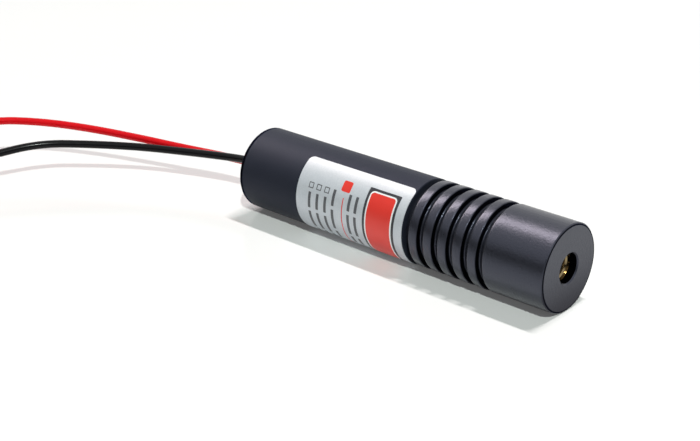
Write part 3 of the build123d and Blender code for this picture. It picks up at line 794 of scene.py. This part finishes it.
@dataclass
class Coil:
    """The ring that the spare lead is wound into, in millimetres and degrees.

    Attributes:
        x: Its middle along the barrel.
        y: Its middle across the barrel.
        lowest_z: Height of the last turn's centre line.
        pitch: Rise from one turn to the next.
        tail_angle: Angle at which the tails leave it.
        points_per_turn: Control points of a turn.
    """

    x: float = -85.4
    y: float = -50.5
    lowest_z: float = 1.32
    pitch: float = 1.7
    tail_angle: float = 270.0
    points_per_turn: int = 24

    def point(self, radius: float, angle: float, height: float) -> Vector:
        """Finds a point on a turn.

        Args:
            radius: The turn's radius.
            angle: Angle round the coil.
            height: Height of the point.

        Returns:
            The point, in millimetres.
        """
        turn = math.radians(angle)
        return Vector((self.x + radius * math.cos(turn), self.y + radius * math.sin(turn), height))

    def heading(self, angle: float) -> Vector:
        """Direction in which a turn runs at an angle round the coil."""
        turn = math.radians(angle)
        return Vector((-math.sin(turn), math.cos(turn), 0))


@dataclass
class Lead:
    """One free lead: its route from the grommet, its turns on the coil, its tail and bare end.

    Attributes:
        name: Piece's name.
        route: Points from the grommet's outer face to where the lead comes in to the coil.
        join_run: Length of the straight run onto the coil.
        turn_radius: Radius of its turns.
        join_angle: Angle at which it joins the coil.
        full_turns: Whole turns before the tail's angle.
        tail_length: Length of the insulated tail.
        finish: Finish of the insulation.
        slot: Material slot of the insulation; not used.
        coil: The coil that it lies in.
        diameter: Diameter of the insulation.
        core_diameter: Diameter of the stranded core.
        bare_length: Length of the bare end.
        tail_shares: Where the tail's control points lie along it.
        outer_strands: Strands round the middle one.
        twist_length: Length in which the strands go round once.
        strand_steps: Straight steps along a strand.
        wire_roundness: How finely the wire's section is divided.
        wire_steps: Steps between two of the wire's control points.
        strand_roundness: How finely a strand's section is divided.
    """

    name: str
    route: tuple[Place, ...]
    join_run: float
    turn_radius: float
    join_angle: float
    full_turns: int
    tail_length: float
    finish: Finish
    slot: str
    coil: Coil = field(default_factory=Coil)
    diameter: float = 1.6
    core_diameter: float = 0.7
    bare_length: float = 5.0
    tail_shares: tuple[float, ...] = (0.15, 0.55, 1.0)
    outer_strands: int = 6
    twist_length: float = 8.0
    strand_steps: int = 20
    wire_roundness: int = 6
    wire_steps: int = 10
    strand_roundness: int = 3

    @property
    def turned_angle(self) -> float:
        """Degrees that the lead goes round the coil."""
        return self.full_turns * 360 + self.coil.tail_angle - self.join_angle

    @property
    def tail_start(self) -> Vector:
        """Where the tail leaves the coil."""
        return self.coil.point(self.turn_radius, self.coil.tail_angle, self.coil.lowest_z)

    def coil_points(self) -> list[Vector]:
        """Lays control points a little outside the turns, because the wire cuts inside them.

        Returns:
            The control points, in millimetres.
        """
        step_count = math.ceil(self.turned_angle / 360 * self.coil.points_per_turn)
        step = self.turned_angle / step_count
        # Between its ends the wire takes three quarters from the nearest control point and the rest
        # from that point's neighbours.
        own_weight = 0.75
        outset = own_weight + (1 - own_weight) * math.cos(math.radians(step))
        points = []
        for index in range(1, step_count + 1):
            angle = self.join_angle + index * step
            height = self.coil.lowest_z + (step_count - index) * step / 360 * self.coil.pitch
            points.append(self.coil.point(self.turn_radius / outset, angle, height))
        return points

    def control_points(self) -> list[Vector]:
        """Lays the whole wire out: its route, the run onto the coil, the turns and the tail.

        Returns:
            The control points, in millimetres.
        """
        join_z = self.coil.lowest_z + self.turned_angle / 360 * self.coil.pitch
        join = self.coil.point(self.turn_radius, self.join_angle, join_z)
        before = join - self.join_run * self.coil.heading(self.join_angle)
        along = self.coil.heading(self.coil.tail_angle)
        tail = [self.tail_start + self.tail_length * share * along for share in self.tail_shares]
        return [Vector(point) for point in self.route] + [before, join] + self.coil_points() + tail

    def build(self) -> bpy.types.Object:
        """Makes the insulated wire.

        Returns:
            The new piece.
        """
        curve = round_curve(self.name, self.diameter / 2, self.wire_roundness)
        curve.resolution_u = self.wire_steps
        spline = add_spline(curve, "NURBS", self.control_points())
        spline.order_u = 3
        spline.use_endpoint_u = True
        return add_piece(self.name, curve, self.finish)

    def bare_end(self) -> bpy.types.Object:
        """Makes the tinned strands at the lead's end, twisted together.

        Returns:
            The new piece.
        """
        # Three strands lie side by side across the core.
        strand_radius = self.core_diameter / 6
        along = self.coil.heading(self.coil.tail_angle)
        start = self.tail_start + self.tail_length * along
        upward = Vector((0, 0, 1))
        sideways = along.cross(upward)
        curve = round_curve(f"{self.name}_strands", strand_radius, self.strand_roundness)
        offsets = [0.0] + [2 * strand_radius] * self.outer_strands
        for index, offset in enumerate(offsets):
            points = []
            for step in range(self.strand_steps + 1):
                reach = self.bare_length * step / self.strand_steps
                angle = FULL_TURN * (reach / self.twist_length + index / self.outer_strands)
                outward = math.cos(angle) * upward + math.sin(angle) * sideways
                points.append(start + reach * along + offset * outward)
            add_spline(curve, "POLY", points)
        return add_piece(f"{self.name}_strands", curve, TIN)


RED_LEAD = Lead(
    name="red_lead_wire",
    route=(
        (-35.3, 0.766, 7.357),
        (-37.8, 0.766, 7.357),
        (-46, 0.77, 6.93),
        (-56.5, -2.6, 7.33),
        (-67.2, -6.4, 8.13),
        (-77.9, -10.6, 8.83),
        (-87.5, -15.6, 9.33),
        (-95.4, -22.6, 9.7),
        (-99.6, -31.3, 7.7),
        (-99.4, -40, 4.6),
    ),
    join_run=7.5,
    turn_radius=8.95,
    join_angle=210.0,
    full_turns=1,
    tail_length=22.0,
    finish=RED_PVC,
    slot="red_insulation",
)
BLACK_LEAD = Lead(
    name="black_lead_wire",
    route=(
        (-35.3, -0.766, 8.643),
        (-37.8, -0.766, 8.643),
        (-44.5, -0.77, 7.85),
        (-54.8, -3.9, 7.35),
        (-64.4, -8, 7.2),
        (-72.8, -14.4, 7.5),
        (-80.4, -21.2, 7.7),
        (-84.8, -30.2, 6.6),
    ),
    join_run=8.5,
    turn_radius=7.25,
    join_angle=155.7,
    full_turns=2,
    tail_length=8.0,
    finish=BLACK_PVC,
    slot="black_insulation",
)


def build_leads() -> None:
    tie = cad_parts["coil_tie"]
    for lead, length, nodes, bare_node, extra in (
        (RED_LEAD, 0.189, ("red_lead",), "red_bare_end", []),
        (BLACK_LEAD, 0.1935, ("black_lead", "lead_coil"), "black_bare_end", [tie]),
    ):
        wire = lead.build()
        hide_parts(*nodes)
        strands = lead.bare_end()
        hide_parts(bare_node)


@dataclass
class LabelPrint:
    """Generic print on the sticker: fields of colour, a square, a rule, boxes and plain bars.

    Places are in millimetres: along is measured from the barrel's rear end, and around is the arc
    down the near side from the top of the barrel.

    Attributes:
        foil_radius: Radius of the foil's face.
        lift: Gap between the foil and the ink, so that the two faces don't coincide.
        thickness: Thickness of a layer of ink.
        slice_height: Height of the flat slices that follow the barrel.
        panel_along, panel_around, panel_corner: Places and corner radius of the dark field.
        bar_along, bar_around, bar_corner: Those of the red field's white edge.
        outline_width: Width of that edge.
        mark_centre, mark_size, mark_corner: Middle, size and corner radius of the small square.
        rule_width, rule_around, rule_corner: Width, ends and corner radius of the thin rule.
        row_places: Places of the rows without a box.
        boxed_row_places: Places of the rows with one.
        row_start: Where the rows start.
        box_size: Size of an empty box.
        box_line: Width of its line.
        box_corner_share: Corner radius of its line as a share of the width.
        bar_width: Width of a plain bar.
        word_lengths: Lengths of the bars in a row.
        word_gap: Gap between them.
        word_corner: Their corner radius.
        corner_steps: Straight steps round a corner.
        cut_tolerance: Distance within which a point counts as lying on a cut.
    """

    foil_radius: float = 8.1
    lift: float = 0.004
    thickness: float = 0.012
    slice_height: float = 0.35
    panel_along: Span = (31.4, 38.65)
    panel_around: Span = (6.05, 21.2)
    panel_corner: float = 0.2
    bar_along: Span = (31.95, 38.1)
    bar_around: Span = (6.55, 20.7)
    bar_corner: float = 0.9
    outline_width: float = 0.3
    mark_centre: Span = (26.5, 7.4)
    mark_size: float = 2.1
    mark_corner: float = 0.35
    rule_width: float = 0.2
    rule_around: Span = (9.6, 20.6)
    rule_corner: float = 0.05
    row_places: tuple[float, ...] = (29.65, 28.0, 24.2)
    boxed_row_places: tuple[float, ...] = (22.35, 20.4, 18.5)
    row_start: float = 8.6
    box_size: float = 1.15
    box_line: float = 0.17
    box_corner_share: float = 0.125
    bar_width: float = 0.62
    word_lengths: tuple[float, ...] = (3.1, 4.2, 2.2)
    word_gap: float = 0.7
    word_corner: float = 0.1
    corner_steps: int = 12
    cut_tolerance: float = 1e-6

    def place(self, along: float, around: float, height: float) -> Vector:
        """Finds a point over the sticker.

        Args:
            along: Its place along the barrel.
            around: Its place round the barrel.
            height: Its height over the foil.

        Returns:
            The point, in metres.
        """
        radius = self.foil_radius + height
        angle = around / self.foil_radius
        return Vector(
            (
                BARREL.rear_x + along * MM,
                -radius * math.sin(angle) * MM,
                BARREL.radius + radius * math.cos(angle) * MM,
            )
        )

    def rounded(self, along: Span, around: Span, corner: float) -> list[Span]:
        """Draws a rectangle with rounded corners.

        Args:
            along: Its two ends along the barrel.
            around: Its two ends round the barrel.
            corner: Radius of its corners.

        Returns:
            The places along and around of its outline.
        """
        corners = [
            (along[1] - corner, around[1] - corner, 0.0),
            (along[0] + corner, around[1] - corner, 90.0),
            (along[0] + corner, around[0] + corner, 180.0),
            (along[1] - corner, around[0] + corner, 270.0),
        ]
        points: list[Span] = []
        for middle_along, middle_around, start in corners:
            for step in range(self.corner_steps + 1):
                angle = math.radians(start + 90 * step / self.corner_steps)
                point = (middle_along + corner * math.cos(angle), middle_around + corner * math.sin(angle))
                points.append(point)
        return points

    def patch(
        self, work: bmesh.types.BMesh, along: Span, around: Span, corner: float, level: int = 0
    ) -> None:
        """Adds one flat field of ink to a mesh, sliced so that it can follow the barrel.

        Args:
            work: Mesh that the field goes into, with x along, y around and z as the level.
            along: The field's two ends along the barrel.
            around: The field's two ends round the barrel.
            corner: Radius of its corners.
            level: How many layers of ink lie under it.
        """
        outline = self.rounded(along, around, corner)
        verts = [work.verts.new((*point, level)) for point in outline]
        face = work.faces.new(verts)
        low = min(point[1] for point in outline)
        high = max(point[1] for point in outline)
        geometry: list[object] = [face, *face.verts, *face.edges]
        slice_count = int((high - low) / self.slice_height)
        for index in range(1, slice_count + 1):
            height = low + index * (high - low) / (slice_count + 1)
            result = bmesh.ops.bisect_plane(
                work,
                geom=geometry,
                dist=self.cut_tolerance,
                plane_co=(0, height, 0),
                plane_no=(0, 1, 0),
            )
            geometry = list({*geometry, *result["geom"]})
            geometry = [item for item in geometry if item.is_valid]

    def finish_mesh(self, work: bmesh.types.BMesh, name: str, finish: Finish) -> bpy.types.Object:
        """Wraps the fields round the sticker and gives them their thickness.

        Args:
            work: Mesh with the flat fields.
            name: The new piece's name.
            finish: The ink.

        Returns:
            The new piece.
        """
        flat_faces = list(work.faces)
        result = bmesh.ops.extrude_face_region(work, geom=flat_faces)
        raised = {item for item in result["geom"] if isinstance(item, bmesh.types.BMVert)}
        for vert in work.verts:
            along, around, level = vert.co
            height = self.lift + level * self.thickness
            if vert in raised:
                height += self.thickness
            vert.co = self.place(along, around, height)
        bmesh.ops.recalc_face_normals(work, faces=work.faces)
        mesh = bpy.data.meshes.new(name)
        work.to_mesh(mesh)
        work.free()
        return add_piece(name, mesh, finish)

    def words(self, work: bmesh.types.BMesh, along: float, start: float) -> None:
        """Adds a row of plain bars.

        Args:
            work: Mesh that they go into.
            along: The row's place along the barrel.
            start: Where it starts round the barrel.
        """
        around = start
        half = self.bar_width / 2
        for length in self.word_lengths:
            self.patch(work, (along - half, along + half), (around, around + length), self.word_corner)
            around += length + self.word_gap

    def box_outline(self, work: bmesh.types.BMesh, along: float, start: float) -> None:
        """Adds an empty square drawn with four lines.

        Args:
            work: Mesh that they go into.
            along: The square's middle along the barrel.
            start: Where it starts round the barrel.
        """
        half = self.box_size / 2
        near, far = along - half, along + half
        end = start + self.box_size
        line = self.box_line
        for side_along, side_around in (
            ((near, far), (start, start + line)),
            ((near, far), (end - line, end)),
            ((near, near + line), (start + line, end - line)),
            ((far - line, far), (start + line, end - line)),
        ):
            self.patch(work, side_along, side_around, line * self.box_corner_share)

    def fields(self) -> None:
        """Makes the dark field, the white edge on it and the red field inside, each over the last."""
        inset = self.outline_width
        inner_along = (self.bar_along[0] + inset, self.bar_along[1] - inset)
        inner_around = (self.bar_around[0] + inset, self.bar_around[1] - inset)
        for level, (name, finish, along, around, corner) in enumerate(
            (
                ("print_panel", DARK_INK, self.panel_along, self.panel_around, self.panel_corner),
                ("print_bar_edge", WHITE_INK, self.bar_along, self.bar_around, self.bar_corner),
                ("print_bar", RED_INK, inner_along, inner_around, self.bar_corner - inset),
            )
        ):
            work = bmesh.new()
            self.patch(work, along, around, corner, level)
            self.finish_mesh(work, name, finish)

    def mark_and_rule(self) -> None:
        """Makes the small square and the thin rule under it."""
        work = bmesh.new()
        along, around = self.mark_centre
        reach = self.mark_size / 2
        self.patch(work, (along - reach, along + reach), (around - reach, around + reach), self.mark_corner)
        half_rule = self.rule_width / 2
        self.patch(work, (along - half_rule, along + half_rule), self.rule_around, self.rule_corner)
        self.finish_mesh(work, "print_mark_and_rule", RED_INK)

    def rows(self) -> None:
        """Makes the rows of bars, the last ones with an empty box before them."""
        work = bmesh.new()
        for place in self.row_places:
            self.words(work, place, self.row_start)
        for place in self.boxed_row_places:
            self.box_outline(work, place, self.row_start)
            self.words(work, place, self.row_start + self.box_size + self.word_gap)
        self.finish_mesh(work, "print_rows", GREY_INK)

    def build(self) -> None:
        """Makes the whole print."""
        self.fields()
        self.mark_and_rule()
        self.rows()


def node_group(name: str, nodes: Sequence[str]) -> bpy.types.Collection:
    """Gathers some of the solids, for a light to be limited to.

    Args:
        name: The group's name.
        nodes: Names of the solids.

    Returns:
        The new group.
    """
    group = bpy.data.collections.new(name)
    for node in nodes:
        group.objects.link(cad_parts[node])
    return group


def seen_directly(tree: Tree) -> Socket:
    """Tells what the camera and reflections see from what lights the rest.

    Args:
        tree: Node tree that it goes into.

    Returns:
        Socket that is 1 for camera, glossy and transmission rays, and 0 for the rest.
    """
    rays = add_node(tree, "ShaderNodeLightPath").outputs
    total = math_socket(tree, "ADD", rays["Is Camera Ray"], rays["Is Glossy Ray"])
    return math_socket(tree, "ADD", total, rays["Is Transmission Ray"], clamp=True)


@dataclass(frozen=True)
class Panel:
    """A rectangular light that faces the barrel, with its width along it.

    Attributes:
        name: Its name.
        direction: Way from the barrel to it.
        distance: Distance from the barrel, in metres.
        size: Width, as near as can be along the barrel, and height, in metres.
        colour: Its colour.
    """

    name: str
    direction: Place
    distance: float
    size: Span
    colour: str

    @property
    def way(self) -> Vector:
        """Unit vector from the barrel to the light."""
        return Vector(self.direction).normalized()

    def power_on_table(self, share: float, albedo: float) -> float:
        """Power at which the light alone makes a table of this albedo a share of white."""
        return share * math.pi**2 * self.distance**2 / (albedo * self.way.z)

    def power_of_face(self, radiance: float) -> float:
        """Power at which the light's own face has this radiance."""
        return radiance * math.pi * self.size[0] * self.size[1]

    def hang(self, power: float) -> bpy.types.Object:
        """Hangs the light.

        Args:
            power: Its power in watts.

        Returns:
            The new light.
        """
        light = bpy.data.lights.new(self.name, "AREA")
        light.shape = "RECTANGLE"
        light.size, light.size_y = self.size
        light.energy = power
        light.color = linear(self.colour)[:3]
        panel = add_object(self.name, light)
        way = self.way
        panel.location = way * self.distance
        across = (Vector((1, 0, 0)) - way.x * way).normalized()
        panel.rotation_euler = Matrix((across, way.cross(across), way)).transposed().to_euler()
        return panel


@dataclass
class Table:
    """White table that the object lies on, which keeps its shadow.

    Attributes:
        size: Length of its sides, in metres.
        albedo: Share of the light that it gives back.
        roughness: Roughness of its gloss.
        ior: Index of refraction of its gloss.
        glow_share: Share of plain white in what the camera and reflections see of it.
        front_shade_colour: Colour of the painted shade that the barrel's front face reflects from the
            stretch of table close before it.
        front_shade_strength: Brightness of that painted shade.
        front_reach: Length of that stretch, in metres.
    """

    size: float = 4.0
    albedo: float = 0.9
    roughness: float = 0.15
    ior: float = 1.3
    glow_share: float = 0.08
    front_shade_colour: str = "#F4F1F2"
    front_shade_strength: float = 0.42
    front_reach: float = 11 * MM

    def painted_front_shade(self, tree: Tree) -> Socket:
        """Finds the stretch close before the barrel's front face where the painted shade shows, in
        reflections alone.

        Args:
            tree: Node tree of the table.

        Returns:
            Socket that is 1 for glossy rays that meet the table there.
        """
        place = add_node(tree, "ShaderNodeTexCoord").outputs["Object"]
        along = axis_parts(tree, place)["X"]
        close = range_socket(tree, along, (BARREL.front_x + self.front_reach, BARREL.front_x), smooth=True)
        ahead = math_socket(tree, "GREATER_THAN", along, BARREL.front_x)
        glossy = add_node(tree, "ShaderNodeLightPath").outputs["Is Glossy Ray"]
        for factor in (ahead, glossy):
            close = math_socket(tree, "MULTIPLY", close, factor)
        return close

    def material(self) -> bpy.types.Material:
        """Makes the table's white surface, with a painted shade in its reflections close before the front
        face.

        Returns:
            The new material.
        """
        material = bpy.data.materials.new("white_table")
        tree = empty_tree(material)
        white = (self.albedo,) * 3 + (1.0,)
        paper = add_node(
            tree,
            "ShaderNodeBsdfPrincipled",
            {"Base Color": white, "Roughness": self.roughness, "IOR": self.ior},
        )
        glow = add_node(tree, "ShaderNodeEmission", {"Color": WHITE, "Strength": 1.0})
        share = math_socket(tree, "MULTIPLY", seen_directly(tree), self.glow_share)
        lit = add_node(tree, "ShaderNodeMixShader", {0: share, 1: paper.outputs[0], 2: glow.outputs[0]})
        # Painted shade: glossy rays close before the front face see a dim emission, so that the face's
        # lower part reflects darker.
        dim = add_node(
            tree,
            "ShaderNodeEmission",
            {"Color": linear(self.front_shade_colour), "Strength": self.front_shade_strength},
        )
        front = self.painted_front_shade(tree)
        mix = add_node(tree, "ShaderNodeMixShader", {0: front, 1: lit.outputs[0], 2: dim.outputs[0]})
        add_node(tree, "ShaderNodeOutputMaterial", {"Surface": mix.outputs[0]})
        return material

    def build(self) -> None:
        """Lays the table."""
        mesh = bpy.data.meshes.new("table")
        reach = self.size / 2
        corners = [(-reach, -reach, 0), (reach, -reach, 0), (reach, reach, 0), (-reach, reach, 0)]
        mesh.from_pydata(corners, [], [(0, 1, 2, 3)])
        table = add_object("table", mesh)
        mesh.materials.append(self.material())


@dataclass
class Room:
    """White room round the table.

    Attributes:
        fill: Brightness of the soft light that it gives from all sides.
        dark_level: Brightness of its dark low side in reflections.
        low_heights: Heights of a direction between which the low part turns dark.
        near_sides: Sideways parts of a direction between which the near part turns dark.
    """

    fill: float = 0.1
    dark_level: float = 0.02
    low_heights: Span = (0.5, 0.12)
    near_sides: Span = (0.3, -0.3)

    def reflected(self, tree: Tree) -> Socket:
        """Brightness of the room in reflections: white, but for the dark low side facing the barrel.

        Args:
            tree: Node tree of the room.

        Returns:
            Socket of the brightness.
        """
        way = add_node(tree, "ShaderNodeTexCoord").outputs["Generated"]
        parts = axis_parts(tree, way)
        low = range_socket(tree, parts["Z"], self.low_heights, smooth=True)
        near = range_socket(tree, parts["Y"], self.near_sides, smooth=True)
        dark = math_socket(tree, "MULTIPLY", low, near)
        return range_socket(tree, dark, target=(1.0, self.dark_level))

    def build(self) -> None:
        """Sets the room up: white to the eye, itself in reflections and a soft fill for the rest."""
        world = bpy.data.worlds.new("studio")
        bpy.context.scene.world = world
        tree = empty_tree(world)
        is_camera = add_node(tree, "ShaderNodeLightPath").outputs["Is Camera Ray"]
        seen = range_socket(tree, is_camera, target=(self.reflected(tree), 1.0))
        strength = range_socket(tree, seen_directly(tree), target=(self.fill, seen))
        sky = add_node(tree, "ShaderNodeBackground", {"Color": WHITE, "Strength": strength})
        add_node(tree, "ShaderNodeOutputWorld", {"Surface": sky.outputs[0]})


@dataclass
class Studio:
    """White table, room, lights and the camera.

    Attributes:
        camera_place: The camera's place, in metres.
        camera_aim: Point that it looks at.
        lens: Its focal length, in millimetres.
        sensor_width: Width of its sensor, in millimetres.
        clip_start: Nearest distance that it sees, in metres.
        table: The table.
        room: The room.
        overhead: Lamp that casts the barrel's near shadow and none of the leads.
        overhead_share: How bright it alone makes the table, where 1 is white.
        side: Lamp on the right that casts the leads' shadows.
        side_share: How bright it alone makes the table.
        streak: Tall soft box behind on the left, seen only as the streak along the barrel.
        streak_radiance: Radiance of its face.
        shaded: Solids that the overhead lamp casts a shadow of.
        streaked: Solids that the soft box shines on.
    """

    camera_place: Place = (0.14141, -0.17652, 0.10619)
    camera_aim: Place = (-0.006467, -0.008018, 0.007374)
    lens: float = 69.6
    sensor_width: float = 36.0
    clip_start: float = 0.01
    table: Table = field(default_factory=Table)
    room: Room = field(default_factory=Room)
    overhead: Panel = Panel("overhead_lamp", (0.07, 0.255, 1.0), 2.0, (0.5, 0.08), "#FFFAF9")
    overhead_share: float = 0.6
    side: Panel = Panel("side_lamp", (0.65, -0.635, 1.0), 2.0, (0.07, 0.07), "#F6FFF9")
    side_share: float = 0.42
    streak: Panel = Panel("streak_box", (-0.604, 0.03, 0.797), 0.6, (0.75, 0.17), "#FFEFE8")
    streak_radiance: float = 9.5
    shaded: tuple[str, ...] = ("rear_tube", "heatsink_head")
    streaked: tuple[str, ...] = ("rear_tube", "heatsink_head", "rear_cap", "label")

    def set_camera(self) -> None:
        """Sets the camera up."""
        data = bpy.data.cameras.new("camera")
        data.lens = self.lens
        data.sensor_width = self.sensor_width
        data.sensor_fit = "HORIZONTAL"
        data.clip_start = self.clip_start
        camera = add_object("camera", data)
        camera.location = self.camera_place
        look = Vector(self.camera_aim) - Vector(self.camera_place)
        camera.rotation_euler = look.to_track_quat("-Z", "Y").to_euler()
        bpy.context.scene.camera = camera

    def hang_lamps(self) -> None:
        """Hangs the two lamps that cast the shadows."""
        albedo = self.table.albedo
        overhead = self.overhead.hang(self.overhead.power_on_table(self.overhead_share, albedo))
        overhead.light_linking.blocker_collection = node_group("barrel_shadow", self.shaded)
        overhead.visible_glossy = False
        self.side.hang(self.side.power_on_table(self.side_share, albedo))

    def hang_soft_box(self) -> None:
        """Hangs the soft box, which lights nothing but shows in the gloss."""
        box = self.streak.hang(self.streak.power_of_face(self.streak_radiance))
        box.visible_diffuse = False
        box.light_linking.receiver_collection = node_group("streaked_pieces", self.streaked)

    def build(self) -> None:
        """Sets up the whole studio."""
        bpy.context.scene.view_settings.view_transform = "Standard"
        self.set_camera()
        self.table.build()
        self.room.build()
        self.hang_lamps()
        self.hang_soft_box()


def main() -> None:
    """Builds and dresses the object in its studio."""
    logging.basicConfig(level=logging.INFO, format="%(message)s")
    Studio().build()
    build_leads()
    LabelPrint().build()
    dress_nodes()


if __name__ == "__main__":
    main()
